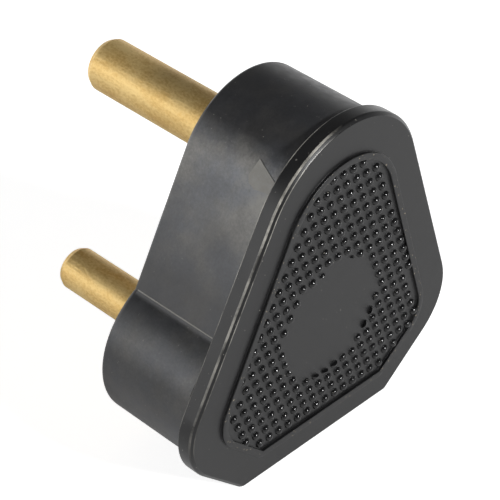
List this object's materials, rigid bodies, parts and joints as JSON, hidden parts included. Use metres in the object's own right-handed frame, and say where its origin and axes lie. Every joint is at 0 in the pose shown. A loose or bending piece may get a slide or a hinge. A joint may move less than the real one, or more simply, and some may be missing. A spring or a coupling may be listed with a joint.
{
  "type": "three-pin plug",
  "caption": "Rewirable three-pin mains plug: solid round brass pins, black lobed rubber base, screwed front cover with a domed grip panel, and a cord inlet underneath.",
  "frame": {"origin": "where the earth pin's axis crosses the pin face of the base", "axes": "+Y along the pins towards their tips, +Z from the live pins towards the earth pin, +X to the right seen from the front cover"},
  "size_m": [0.0576, 0.0493, 0.0583],
  "materials": {
    "base_rubber": "matte black moulded rubber with a dusty bloom",
    "cover_plastic": "satin black moulded plastic",
    "pin_brass": "satin turned brass",
    "screw_steel": "plated steel",
    "clamp_plastic": "matte black plastic"
  },
  "bodies": {
    "root": {"base_body": "base_rubber", "front_cover": "cover_plastic", "earth_pin": "pin_brass", "line_pin": "pin_brass", "neutral_pin": "pin_brass", "terminal_screws": "screw_steel", "cord_clamp": "clamp_plastic", "clamp_screws": "screw_steel", "cover_screw": "screw_steel", "cover_insert": "pin_brass"}
  },
  "joints": []
}
